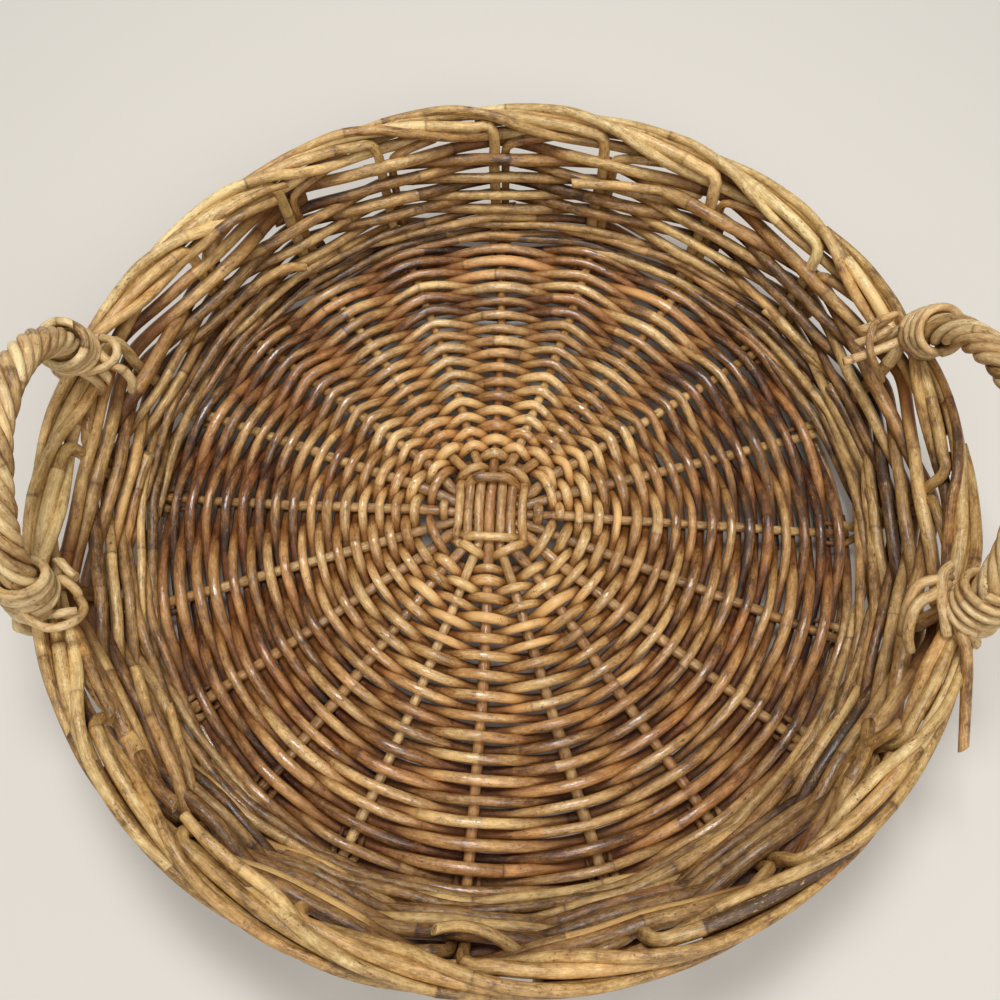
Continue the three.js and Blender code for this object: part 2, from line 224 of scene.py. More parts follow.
def paint_shade_and_dust(one, depth, seen=(0.0, 4.5), hidden=(4.5, 8.0)):
    """Painted shade, with some old dust: darker near the weave's middle layer, by how far each point is from
    that layer
    """
    low, high = np.where(depth[:, None] > 0.0, seen, hidden).T
    one["looks"][:, shade_column] = np.clip((high - np.abs(depth)) / (high - low), 0.0, 1.0)
    return one


def colour(red, green, blue):
    """A colour as it is seen, from 0 to 255, in the shader's own linear values"""
    def linear(part):
        return part / 255.0 / 12.92 if part <= 10 else ((part / 255.0 + 0.055) / 1.055) ** 2.4
    return linear(red), linear(green), linear(blue), 1.0


def cane_finish(name, straw, honey, brown, dark, orange, gloss_left, roughness=0.36):
    """Varnished unpeeled cane: straw to dark brown, streaked along its length, blotched and speckled.
    Gloss left is how much of the shiny varnish hasn't worn off"""
    finish = bpy.data.materials.new(name)
    finish.use_nodes = True
    tree = finish.node_tree
    nodes, link = tree.nodes, tree.links.new
    shader = nodes["Principled BSDF"]
    shader.inputs["IOR"].default_value = 1.5
    shader.inputs["Coat Roughness"].default_value = 0.15
    shader.inputs["Coat IOR"].default_value = 1.8

    def attribute(of, output="Fac"):
        node = nodes.new("ShaderNodeAttribute")
        node.attribute_name = of
        return node.outputs[output]

    def noise(across, along, detail, rough=0.55):
        stretch = nodes.new("ShaderNodeVectorMath")
        stretch.operation = "MULTIPLY"
        stretch.inputs[1].default_value = (across, across, along)
        link(place, stretch.inputs[0])
        node = nodes.new("ShaderNodeTexNoise")
        node.inputs["Scale"].default_value = 1.0
        node.inputs["Detail"].default_value = detail
        node.inputs["Roughness"].default_value = rough
        link(stretch.outputs[0], node.inputs["Vector"])
        return node.outputs["Fac"]

    def spread(value, low, high, out_low=0.0, out_high=1.0, clamp=True):
        node = nodes.new("ShaderNodeMapRange")
        node.clamp = clamp
        node.inputs["From Min"].default_value = low
        node.inputs["From Max"].default_value = high
        node.inputs["To Min"].default_value = out_low
        node.inputs["To Max"].default_value = out_high
        link(value, node.inputs["Value"])
        return node.outputs["Result"]

    def math_node(operation, a, b):
        node = nodes.new("ShaderNodeMath")
        node.operation = operation
        for socket, value in zip(node.inputs, (a, b)):
            if isinstance(value, (int, float)):
                socket.default_value = value
            else:
                link(value, socket)
        return node.outputs[0]

    def mix(factor, a, b, blend="MIX"):
        node = nodes.new("ShaderNodeMix")
        node.data_type = "RGBA"
        node.blend_type = blend
        for socket, value in ((node.inputs[0], factor), (node.inputs[6], a), (node.inputs[7], b)):
            if isinstance(value, (int, float, tuple)):
                socket.default_value = value
            else:
                link(value, socket)
        return node.outputs[2]

    place = attribute("cane", "Vector")
    streak = noise(2.0, 0.06, 3.0, 0.65)
    mottle = noise(0.85, 0.34, 4.0, 0.7)
    blotch = noise(0.24, 0.10, 4.0, 0.6)
    patch = noise(0.06, 0.021, 2.0)
    specks = noise(0.95, 0.6, 3.0, 0.6)
    cluster = noise(0.10, 0.05, 3.0, 0.6)

    # each kind of mark makes the cane lighter and darker round its own tone
    tone = attribute("tone")
    for marks, low, high, depth in ((blotch, 0.32, 0.68, 0.26), (mottle, 0.32, 0.68, 0.24),
                                    (streak, 0.3, 0.7, 0.18), (patch, 0.3, 0.7, 0.14)):
        tone = math_node("ADD", tone, spread(marks, low, high, -depth, depth))
    tone = math_node("ADD", tone, math_node("MULTIPLY", attribute("stain"), 0.42))
    straw_stop = 0.15
    tone = spread(tone, 0.0, 1.0, straw_stop, 1.0, clamp=False)
    ramp = nodes.new("ShaderNodeValToRGB")
    palest = tuple(min(1.0, part * 1.3) for part in straw)
    stops = ((0.0, palest), (straw_stop, straw), (0.44, honey), (0.73, brown), (1.0, dark))
    while len(ramp.color_ramp.elements) < len(stops):
        ramp.color_ramp.elements.new(0.5)
    for element, (position, shade) in zip(ramp.color_ramp.elements, stops):
        element.position = position
        element.color = shade
    link(tone, ramp.inputs[0])
    warm = math_node("ADD", attribute("warmth"), spread(patch, 0.35, 0.65, 0.25, -0.25))
    warm = spread(warm, 0.0, 1.0, 0.0, 0.7)
    body = mix(warm, ramp.outputs[0], mix(0.75, ramp.outputs[0], orange, "MULTIPLY"))

    # greyed by age, scraped down to paler wood, speckled, lined at the knuckles, and pith in the cut ends
    greyed = spread(noise(0.09, 0.045, 3.0, 0.6), 0.46, 0.64, 0.0, 0.35)
    body = mix(greyed, body, mix(0.8, body, colour(204, 194, 174), "MULTIPLY"))
    scraped = math_node("MULTIPLY", spread(mottle, 0.60, 0.66), spread(cluster, 0.56, 0.48))
    body = mix(math_node("MULTIPLY", scraped, 0.65), body, straw)
    speckled = math_node("MULTIPLY", spread(specks, 0.59, 0.66), spread(cluster, 0.44, 0.58))
    body = mix(math_node("MULTIPLY", speckled, 0.8), body, dark)
    body = mix(math_node("MULTIPLY", attribute("knot"), 0.75), body, dark)
    pith = mix(spread(noise(1.4, 1.4, 2.0), 0.35, 0.65), straw, brown)
    body = mix(attribute("cut"), body, pith)
    # painted shade: the colour darkened by the shade attribute, where canes lie in the crevices of the weave
    painted_shade_colour = mix(1.0, body, colour(168, 140, 112), "MULTIPLY")
    body = mix(attribute("shade"), body, painted_shade_colour)
    link(body, shader.inputs["Base Color"])

    dull = math_node("ADD", spread(blotch, 0.3, 0.7, roughness - 0.06, roughness + 0.10),
                     math_node("MULTIPLY", attribute("cut"), 0.35))
    link(dull, shader.inputs["Roughness"])
    # the varnish is glossy on the tops of the weave and worn off in patches
    varnish = math_node("MULTIPLY", spread(attribute("shade"), 0.0, 0.5, gloss_left, 0.0),
                        spread(cluster, 0.43, 0.56, 0.2, 1.0))
    link(varnish, shader.inputs["Coat Weight"])
    height = math_node("ADD", math_node("MULTIPLY", streak, 0.6), math_node("MULTIPLY", specks, 0.25))
    height = math_node("ADD", height, math_node("MULTIPLY", noise(0.35, 0.2, 2.0), 0.9))
    height = math_node("ADD", height, math_node("MULTIPLY", mottle, 0.9))
    for surface, strength in (("Normal", 0.8), ("Coat Normal", 0.3)):
        bump = nodes.new("ShaderNodeBump")
        bump.inputs["Strength"].default_value = strength
        bump.inputs["Distance"].default_value = 0.0006
        link(height, bump.inputs["Height"])
        link(bump.outputs[0], shader.inputs[surface])
    return finish


def cane_piece(name, rods, finish, nodes):
    """Rods that stand for one or more nodes of the frame, as one mesh that carries what the finish needs"""
    points, quads, caps, base = [], [], [], 0
    for one in rods:
        points.append(one["points"])
        quads.append(one["quads"] + base)
        caps += [[base + corner for corner in cap] for cap in one["caps"]]
        base += len(one["points"])
    faces = np.concatenate(quads).tolist() + caps
    mesh = bpy.data.meshes.new(name)
    mesh.from_pydata((np.concatenate(points) * metres).tolist(), [], faces)
    curved = np.ones(len(faces), bool)
    curved[-len(caps):] = False
    mesh.polygons.foreach_set("use_smooth", curved)
    place = mesh.attributes.new("cane", "FLOAT_VECTOR", "POINT")
    place.data.foreach_set("vector", np.concatenate([one["cane"] for one in rods]).ravel())
    looks = np.concatenate([one["looks"] for one in rods])
    for column, attribute in enumerate(look_columns):
        values = mesh.attributes.new(attribute, "FLOAT", "POINT")
        values.data.foreach_set("value", np.ascontiguousarray(looks[:, column]))
    mesh.materials.append(finish)
    piece = bpy.data.objects.new(name, mesh)
    bpy.context.scene.collection.objects.link(piece)
    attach(piece, "root")
    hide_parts(*nodes)


stick_finish = cane_finish("stick_cane", colour(214, 178, 120), colour(182, 140, 84), colour(140, 98, 52),
                           colour(74, 46, 22), colour(238, 184, 138), 0.5)


def stick_half(index, turn, layer):
    """Half of a base stick, from the crossing out to its cut end"""
    spoke = turn // 90 * stick_count - index
    level = base_level(straight_reach) + layer * layer_step
    half = [at(frame_turn + turn, straight_reach * share, level, -index * (stick_thickness + clearance))
            for share in (0.3, 0.8, 1.0)]
    for share in (0.0, 0.15, 0.3, 0.5, 0.7, 0.85, 1.0):
        radius = fan_reach + (base_radius - fan_reach) * share
        half.append(at(spoke_turn(spoke, radius), radius, base_level(radius)))
    return half


# the middle one of the upper five is a reddish cane
draw = np.random.default_rng(5)
for way, turn, layer in (("across", 0, -1), ("along", 90, 1)):
    for number in range(stick_count):
        index = number - (stick_count - 1) // 2
        line = smooth(stick_half(-index, turn + 180, layer)[::-1] + stick_half(index, turn, layer))
        middle_one = way == "along" and index == 0
        one = rod(draw, line, stick_thickness * draw.uniform(0.99, 1.12),
                  0.35 if middle_one else draw.uniform(0.15, 0.45),
                  0.95 if middle_one else draw.uniform(0.0, 0.35), step=5.0, slant=0.1, wobble=0.12)
        cane_piece(f"stick_{way}_{number + 1}", [one], stick_finish, [f"base_stick_{way}_{number + 1}"])

# The base weave: canes woven round and round the sticks, two at a time, each passing over the sticks that
# the other goes under. The first round ties each five sticks together and the second parts them two, one,
# two. The canes are pieced from many lengths, pale near the middle and darker and redder towards the edge.
weaver_thickness = 5.2
row_pitch = 4.93
first_row_radius = 27.0
base_row_count = 34
weave_lift = (stick_thickness + weaver_thickness) / 2
tie_reach = 17.0
parting_start = 13
parting_drift = 0.8
shortest_length, longest_length = 600.0, 1150.0
join_overlap = 0.2
weaver_finish = cane_finish("weaver_cane", colour(226, 188, 126), colour(192, 146, 86), colour(142, 97, 50),
                            colour(70, 42, 19), colour(232, 172, 120), 0.9)


def uneven(angle, radius):
    """How far the rows wander in and out as they go round"""
    rows = radius / row_pitch
    return 0.33 * (np.sin(angle / 19.0 + rows * 0.45) + np.sin(angle / 11.0 - rows * 0.8 + 2.0)
                   + np.sin(angle / 33.0 + rows * 1.7))


def weave_line(row, start, end, aside, per_spoke=12):
    """The centre line of a weaver from one spoke to another, on its way outwards"""
    spoke = np.linspace(start, end, int((end - start) * per_spoke) + 2)
    radius = first_row_radius + row_pitch * (row + 2.0 * spoke / spoke_count)
    # on the far side the stiff canes are bent at every second spoke and run straight between
    from_corner = (1.0 - np.abs((spoke / 2.0) % 1.0 * 2.0 - 1.0)) * math.radians(spoke_angle)
    cut = 1.0 - math.cos(math.radians(spoke_angle)) / np.cos(math.radians(spoke_angle) - from_corner)
    angle = spoke_turn(spoke, radius)
    farness = np.clip((np.sin(np.radians(angle)) - 0.1) / 0.6, 0.0, 1.0) * 0.75 + 0.1
    farness = farness * np.clip((base_radius - radius) / 60.0, 0.0, 1.0)
    radius = radius * (1.0 - farness * cut) + uneven(angle, radius) + aside
    height = base_level(radius) + weave_lift * np.cos(math.pi * (spoke - row))
    return at(angle, radius, height), radius


def tie_line(over_along):
    """Once round the crossing in a rounded square, over the sticks that lie along and under those that lie
    across, or the other way about"""
    turn = np.linspace(40.0, 402.0, 140)
    a = np.radians(turn)
    swing = np.clip(-1.6 * np.cos(2 * a), -1.0, 1.0)
    reach = tie_reach / (np.abs(np.cos(a)) ** 6 + np.abs(np.sin(a)) ** 6) ** (1 / 6)
    reach = reach + (-2.0 if over_along else 2.6) * (1.0 - np.abs(swing))
    lift = 8.0 if over_along else -2.7
    return at(frame_turn + turn, reach, base_level(reach) + lift * swing)


def above_base(points):
    """How far points lie above the middle layer of the base"""
    x = points[:, 0] - rim_middle[0] - hub_shift[0]
    y = points[:, 1] - rim_middle[1] - hub_shift[1]
    return points[:, 2] - base_level(np.minimum(base_radius, np.hypot(x, y)))


def parting_line(first_over, radius):
    """Once round the sticks in twos and ones: over two, under one, over two, under two and so on"""
    points = []
    for step in range(spoke_count + 1):
        spoke = parting_start + step
        over = step % 10 in (0, 1, 3, 4, 7)
        lift = weave_lift if over == first_over else -weave_lift
        reach = radius + parting_drift * step / spoke_count
        points.append(at(spoke_turn(spoke, reach), reach, base_level(reach) + lift))
    return smooth(points, 1.0)


draw = np.random.default_rng(23)
for letter, row, first, over_along, parting_radius in (("a", 0, 20.0, True, 24.9),
                                                       ("b", 1, 12.0, False, 32.8)):
    parting = parting_line(over_along, parting_radius)
    rods = [rod(draw, tie_line(over_along), weaver_thickness, 0.12, 0.1, step=1.6, wobble=0.05),
            rod(draw, parting, weaver_thickness, 0.16, 0.15, step=1.6, wobble=0.05)]
    last = (base_row_count - row - 1) / 2 * spoke_count
    start = first
    while start < last:
        reach = first_row_radius + row_pitch * (row + 2.0 * start / spoke_count)
        span = draw.uniform(shortest_length, longest_length) / (reach * math.radians(spoke_angle))
        # each length ends under a stick, where the next begins
        under = round(start + span)
        under += (under - row) % 2 == 0
        end = min(last, under)
        if last - end < 6:
            end = last
        line, radius = weave_line(row, start - join_overlap, end + join_overlap, draw.normal(0.0, 0.15))
        # browner outwards, and more so at the left and the right than in front and behind
        outwards = np.clip((radius - 40.0) / 130.0, 0.0, 1.0)
        far_out = float(outwards.mean())
        aside = np.abs(np.cos(np.radians(spoke_angle * np.linspace(start, end, len(line)) + frame_turn)))
        tone = -0.15 + 0.54 * outwards + 0.40 * outwards**0.5 * aside**2 + draw.normal(0.0, 0.16)
        warmth = 0.02 + 0.22 * far_out + draw.normal(0.0, 0.23)
        thickness = (weaver_thickness + 0.4 * far_out) * draw.uniform(0.92, 1.08)
        step = float(np.interp(reach, [35, 190], [1.8, 3.6]))
        rods.append(rod(draw, line, thickness, tone, warmth, step=step, wobble=0.12))
        start = end
    # painted shade in the base weave: darker where the canes dip to and under the middle layer
    for one in rods:
        paint_shade_and_dust(one, above_base(one["points"]), seen=(0.0, 5.2))
    cane_piece(f"base_weave_{letter}", rods, weaver_finish, [f"base_weaver_{letter}"])

# The foot ring: one thick cane bent round under the edge of the base, with its two ends butted.
# The basket stands on it, so its underside is worn flat.
foot_ring_thickness = 5.6
foot_ring_radius = 189.7
foot_ring_height = foot_ring_thickness * 0.46
draw = np.random.default_rng(31)
turn = np.linspace(100.0, 459.8, 240)
ring = rod(draw, at(turn, foot_ring_radius, foot_ring_height), foot_ring_thickness, 0.42, 0.2, step=5.0,
           taper=0.0, slant=0.0)
ring["points"][:, 2] = np.maximum(ring["points"][:, 2], 0.0)
cane_piece("foot_ring_cane", [ring], stick_finish, ["foot_ring"])

# The stakes: beside the end of every base stick a thick cane, cut to a point, is pushed into the base. It
# turns up, leans out to the rim, bends sharply to the left there and is laid down. Together the twenty
# roll over one another round the rim, over the top and under, which makes the thick border.
stake_thickness = 6.0
border_radius = 220.8
border_height = 80.4
strand_start = 168.0
strand_roll = 240.0
roll_per_degree = 3.93
bend_start = 187.2
bend_radius = 8.0
side_turn = 70.3
stake_foot_length = 15.0
stake_point_length = 22.0
stake_foot_drop = 0.5
pair_closing = 0.35
straight_length = 48.0
places_to_tip = 4
tip_share = 0.93
bend_length = bend_radius * math.radians(side_turn)

# the bend from the side into the border: distance from the middle, height and step to the left
rim_bend = ((211.4, 68.5, 0.2), (212.2, 75.5, 0.6), (213.9, 81.0, 1.6), (215.4, 83.4, 5.0))
# the ways along the border of a stake and of its tip: degrees along the rim, the turn round the border's
# own section and the distance from the border's middle line
strand_way = ((3.6, 152.0, 5.9), (9.0, 131.0, 5.6),
              (strand_roll / roll_per_degree, strand_start - strand_roll, 4.8))
tip_way = ((-11.0, -72.0, 5.4), (-4.0, -110.0, 6.0), (1.0, -124.0, 6.4), (7.0, -158.0, 7.0),
           (13.0, -204.0, 8.6), (18.5, -248.0, 9.6), (25.0, -282.0, 9.2), (33.0, -312.0, 7.2),
           (42.0, -336.0, 5.4))


def border_point(turn, reach):
    """The distance from the middle and the height of a point of the border, by its angle round the border's
    own section"""
    turn = np.radians(turn)
    return border_radius + reach * np.cos(turn), border_height + reach * np.sin(turn)


def side_point(up_side, inward=0.0):
    """The distance from the middle and the height of a point of the side, by how far it is up the side"""
    turn = np.clip(np.asarray(up_side, float) / bend_radius, 0.0, math.radians(side_turn))
    beyond = np.maximum(up_side - bend_length, 0.0)
    radius = bend_start + bend_radius * np.sin(turn) + beyond * np.cos(turn) - inward * np.sin(turn)
    height = stick_level + bend_radius * (1.0 - np.cos(turn)) + beyond * np.sin(turn) + inward * np.cos(turn)
    return radius, height


def stake_foot(angle, side, thickness):
    """Where a stake lies beside the end of a base stick, turns up and joins its pair"""
    beside = side * ((stick_thickness + thickness) / 2 + clearance)
    start = base_radius - stake_foot_length
    points = [at(angle, radius, base_level(radius) - stake_foot_drop, beside)
              for radius in (start, start + 5.0, start + 9.0)]
    points.append(at(angle, bend_start, stick_level, beside))
    for up_side in (5.0, 10.0, 16.0, 34.0):
        radius, height = side_point(up_side)
        apart = (stick_thickness + thickness) / 2 - up_side * pair_closing
        beside = side * max((thickness + clearance) / 2, apart)
        points.append(at(angle, radius, height, beside))
    return points


border_finish = cane_finish("border_cane", colour(230, 200, 140), colour(203, 165, 100), colour(152, 114, 62),
                            colour(84, 56, 28), colour(255, 204, 156), 0.22, 0.42)


def border_strand(draw, angle, way, swing=1.0):
    """The centre line of a strand of the border along its way, with a little swing"""
    waves = draw.uniform(0.0, 6.0, 4)
    points = []
    for along in np.arange(way[0][0], way[-1][0] + 0.1, 3.6):
        turn, reach = (np.interp(along, [place[0] for place in way], [place[i] for place in way])
                       for i in (1, 2))
        turn += swing * (5.0 * math.sin(along / 11.0 + waves[0]) + 3.0 * math.sin(along / 4.5 + waves[1]))
        reach += swing * (0.3 * math.sin(along / 9.0 + waves[2]) + 0.2 * math.sin(along / 3.2 + waves[3]))
        radius, height = border_point(turn, reach)
        points.append(at(angle + along, radius, height))
    return points


def from_border_line(points):
    """How far points lie from the middle line of the border"""
    out = np.hypot(points[:, 0] - rim_middle[0], points[:, 1] - rim_middle[1])
    return np.hypot(out - border_radius, points[:, 2] - border_height)


def paint_upright_shade(one):
    """Painted shade on a stake: dark where it lies in the base, with a darker tone there, and a little dark
    where it stands in the side
    """
    out = np.hypot(one["points"][:, 0] - rim_middle[0], one["points"][:, 1] - rim_middle[1])
    in_side = np.clip((64.0 - one["points"][:, 2]) / 10.0, 0.0, 0.45)
    in_base = np.clip((bend_start - out) / 4.0, 0.0, 1.0)
    looks = one["looks"]
    looks[:, shade_column] = np.maximum(looks[:, shade_column], np.maximum(in_side, in_base))
    looks[:, tone_column] += 0.12 * in_base


draw = np.random.default_rng(41)
# the strands that lie along the far side are the palest, and those along the near side the darkest
strand_middle = 25.0
farness = np.sin(np.radians(np.arange(spoke_count) * spoke_angle + strand_middle))
far_share, near_share = np.clip(farness, 0.0, 1.0), np.clip(-farness, 0.0, 1.0)
stake_tones = draw.uniform(0.14, 0.52, spoke_count) * (1.0 - 0.75 * far_share) + 0.10 * near_share
stake_warmths = draw.normal(0.1, 0.18, spoke_count)
stake_sizes = stake_thickness * draw.uniform(0.94, 1.10, spoke_count)
for spoke in range(spoke_count):
    angle = float(spoke_turn(spoke, base_radius))
    points = stake_foot(angle, 1, stake_thickness)
    stand = (stake_thickness + clearance) / 2
    radius, height = side_point(bend_length + straight_length)
    points.append(at(angle, radius, height, stand + draw.normal(0.0, 0.4)))
    for radius, height, beside in rim_bend:
        points.append(at(angle, radius, height, stand + beside))
    points += border_strand(draw, angle, strand_way)
    rods = [rod(draw, smooth(points, 2.0), stake_sizes[spoke], stake_tones[spoke], stake_warmths[spoke],
                taper=0.12, internode=105.0, slant=0.9, sides=12, wobble=0.15, pointed=stake_point_length)]
    # the tip of the stake four places back comes up from under the border here, behind this stake, and
    # crosses over it to the outside
    back = (spoke - places_to_tip) % spoke_count
    tip = border_strand(draw, angle, tip_way, 0.6)
    rods.append(rod(draw, smooth(tip, 2.0), stake_sizes[back] * tip_share, stake_tones[back],
                    stake_warmths[back], taper=0.45, internode=105.0, slant=0.9, sides=12, wobble=0.15))
    # painted shade between the strands of the border, and on the stake's foot and upright
    for one in rods:
        paint_shade_and_dust(one, from_border_line(one["points"]), seen=(3.0, 7.0))
    paint_upright_shade(rods[0])
    number = f"{spoke + 1:02d}"
    cane_piece(f"stake_{number}", rods, border_finish, [f"side_stake_{number}"])

# The second stakes: a thinner cane on the other side of each base stick stiffens the side. Under the border
# it bends sharply to the right, lies along under the border for a finger's length and is cut off. Four sticks
# have none, because a handle's own canes stand in that place.
second_thickness = 5.2
second_run = 34.0
under_border = 11.9
under_turn = 218.0
handle_spokes = (1, 9, 11, 19)
wall_finish = cane_finish("wall_cane", colour(216, 180, 116), colour(180, 140, 82), colour(130, 93, 50),
                          colour(68, 44, 22), colour(236, 178, 124), 0.28, 0.40)

draw = np.random.default_rng(43)
for spoke in range(spoke_count):
    if spoke in handle_spokes:
        continue
    angle = float(spoke_turn(spoke, base_radius))
    beside = -(second_thickness + clearance) / 2
    points = stake_foot(angle, -1, second_thickness)
    radius, height = side_point(bend_length + straight_length)
    points.append(at(angle, radius, height, beside))
    radius, height = border_point(under_turn, under_border)
    points.append(at(angle, radius, height - 2.0, beside - 1.0))
    run = second_run * draw.uniform(0.6, 1.2)
    for share in (0.15, 0.4, 0.7, 1.0):
        out, up = 3.5 * share, 1.5 * min(1.0, share * 3)
        points.append(at(angle, radius + out, height + up, beside - 2.8 - run * share))
    one = rod(draw, smooth(points), second_thickness * draw.uniform(0.92, 1.1), draw.uniform(0.25, 0.6),
              draw.uniform(0.0, 0.4), internode=70.0, slant=0.9, wobble=0.12, pointed=stake_point_length)
    # painted shade where the stake lies in the base and stands in the side
    paint_upright_shade(one)
    number = f"{spoke + 1:02d}"
    cane_piece(f"second_stake_{number}", [one], wall_finish, [f"bye_stake_{number}"])

# The side weave: first a dense band of thinner canes, three at a time, inside two pairs of stakes and
# outside the next. Above it thicker canes go in and out of the pairs two at a time, with gaps between
# them, up to the open band under the border. All are pieced from many lengths.
wall_thickness = 5.4
wall_lift = (stake_thickness + wall_thickness) / 2 + clearance
plain_start = 26.8
plain_pitch = 4.6
plain_opening = 0.11
plain_ends = {"a": 66, "b": 77}
top_row = 7.35
top_crowding = 0.15
join_step = 2.2
pair_half_width = 3.6
band_start = 5.2
band_rise = 11.6
band_steps = (2.6, 5.0, 0.0)
stub_tuck_share, stub_tuck_drop = 1.2, 5.0


def side_rod(draw, row_points, thickness, tone, warmth):
    """One length of cane in the side, through its places at the stake pairs: the spoke, the way up the side,
    and inside or outside"""
    points = []
    for number, (spoke, up_side, inward) in enumerate(row_points):
        up_side += draw.normal(0.0, 0.45)
        # at a join both canes lie side by side, and their cut ends stand off from the weave
        if number == 0:
            up_side += join_step
        if number == len(row_points) - 1:
            up_side -= join_step
        radius, height = side_point(up_side, inward * wall_lift)
        angle = spoke_turn(spoke, base_radius)
        beyond = draw.uniform(3.0, 12.0)
        off, off_height = side_point(up_side, inward * (wall_lift + 0.12 * beyond))
        if number == 0:
            points.append(at(angle, off, off_height, -pair_half_width - beyond))
        for aside in (-pair_half_width, pair_half_width):
            points.append(at(angle, radius, height, aside))
        if number == len(row_points) - 1:
            points.append(at(angle, off, off_height, pair_half_width + beyond))
    return rod(draw, smooth(points), thickness, tone, warmth, internode=75.0, slant=0.7, wobble=0.25)


def inside_wall(points):
    """How far points lie on the inside of the middle layer of the side"""
    out = np.hypot(points[:, 0] - rim_middle[0], points[:, 1] - rim_middle[1])
    radius, height = side_point(bend_length)
    turn = math.radians(side_turn)
    return (points[:, 2] - height) * math.cos(turn) - (out - radius) * math.sin(turn)


def on_side(angle, up_side, inward):
    """A point of the side by its true angle round the rim"""
    radius, height = side_point(up_side, inward)
    turn = math.radians(angle)
    return rim_middle[0] + radius * math.cos(turn), rim_middle[1] + radius * math.sin(turn), height


# cut and broken ends that lie on the inside of the side: how thick, how dark, and the angle round the rim,
# the way up the side and the way inwards of the places that each passes
side_stubs = (
    (5.5, 0.05, ((78.3, 53.8, 11), (74.0, 55.4, 10), (70.2, 57.8, 9), (65.0, 59.5, 5))),
    (5.6, 0.42, ((127.1, 77.5, 12), (131.8, 79.9, 11.5), (136.1, 80.4, 10), (140.6, 78.5, 8))),
    (4.0, 0.30, ((124.6, 82.5, 12), (127.7, 84.7, 11), (131.2, 85.0, 9), (135.0, 84.0, 6))),
    (5.2, 0.12, ((127.0, 30.3, 11), (130.2, 36.7, 11), (133.6, 37.6, 9.5), (137.3, 34.7, 6))),
    (5.6, 0.45, ((-146.6, 79.5, 12), (-150.2, 78.8, 11), (-154.0, 78.1, 10), (-157.8, 74.9, 7))),
    (5.0, 0.15, ((-147.3, 35.1, 12), (-143.6, 38.9, 11.5), (-140.0, 42.4, 10), (-136.7, 43.6, 6))),
    (5.4, 0.10, ((-153.8, 48.0, 12), (-146.0, 52.2, 11), (-141.3, 54.9, 10.5), (-137.3, 55.5, 8))),
    (5.6, 0.34, ((-132.3, 82.1, 13), (-135.3, 80.6, 12), (-139.3, 75.5, 11), (-143.2, 68.4, 8))),
    (5.2, 0.10, ((-127.2, 84.6, 13), (-123.2, 84.8, 12.5), (-119.3, 85.1, 12), (-115.9, 85.1, 10))),
    (5.0, 0.20, ((-130.9, 78.9, 11), (-126.8, 79.2, 10), (-122.9, 79.9, 9), (-119.3, 80.1, 6))),
    (5.2, 0.15, ((-98.2, 65.1, 10), (-96.4, 62.2, 11), (-94.6, 60.7, 11), (-91.8, 60.6, 9))),
    (5.6, 0.30, ((-35.0, 86.2, 12), (-36.3, 81.5, 12), (-37.9, 73.5, 11), (-39.7, 63.2, 8))),
    (6.4, 0.40, ((-35.1, 64.0, 11), (-38.5, 72.0, 11), (-41.8, 75.9, 11), (-44.8, 73.9, 8))),
)

draw = np.random.default_rng(47)
for letter, row, first in (("a", 0, 0), ("b", 1, -10)):
    rods = []
    # the plain weave, inside one pair of stakes and outside the next, with its joins outside
    last = plain_ends[letter]
    start = first
    while start < last:
        end = start + int(draw.uniform(8, 14))
        end += (end + row) % 2 == 1
        if last - end < 5:
            end = last
        end = min(end, last)
        places = []
        for spoke in range(start, end + 1):
            rows_up = row + 2.0 * spoke / spoke_count
            rows_up = min(rows_up, top_row) + top_crowding * max(0.0, rows_up - top_row)
            up_side = plain_start + plain_pitch * rows_up + plain_opening * rows_up**2
            places.append((spoke, up_side, -1.0 if (spoke + row) % 2 == 0 else 1.0))
        # thicker higher up, browner at the left and the right, and paler behind
        high = (start - first) / (last - first)
        angle = math.radians(frame_turn + spoke_angle * (start + end) / 2)
        browner = 0.10 * abs(math.cos(angle)) - 0.12 * max(0.0, math.sin(angle))
        rods.append(side_rod(draw, places, wall_thickness * draw.uniform(0.9, 1.12) * (1.02 + 0.32 * high),
                             draw.uniform(0.05, 0.7) + browner, draw.normal(0.15, 0.25)))
        start = end
    # the band of three canes, two of them with the first weaver and one with the second
    for lead in ((0, 1) if letter == "a" else (2,)):
        start = lead
        while start < 2 * spoke_count + lead:
            end = min(start + int(draw.uniform(3, 5)) * 3, 2 * spoke_count + lead)
            places = []
            for spoke in range(start, end + 1):
                step = (spoke - lead) % 3
                up_side = band_start + band_rise * (spoke - lead) / spoke_count + band_steps[step]
                places.append((spoke, up_side, -1.0 if step == 0 else 1.0))
            rods.append(side_rod(draw, places, wall_thickness * draw.uniform(0.85, 1.02),
                                 draw.uniform(0.05, 0.65), draw.normal(0.2, 0.25)))
            start = end
    # painted shade between the canes of the side, darker near its middle layer
    for one in rods:
        paint_shade_and_dust(one, inside_wall(one["points"]), seen=(1.0, 6.5))
    for thickness, tone, places in side_stubs if letter == "b" else ():
        # one end stands free and the other is tucked into the weave
        before, last_place = np.array(places[-2:], float)
        tucked = last_place + (last_place - before) * stub_tuck_share - [0.0, 0.0, stub_tuck_drop]
        line = smooth([on_side(*place) for place in (*places, tucked)])
        rods.append(rod(draw, line, thickness, tone, 0.1, step=2.4, taper=-0.1, internode=60.0, slant=1.0,
                        wobble=0.1))
    cane_piece(f"side_weave_{letter}", rods, wall_finish, [f"wall_weaver_{letter}"])

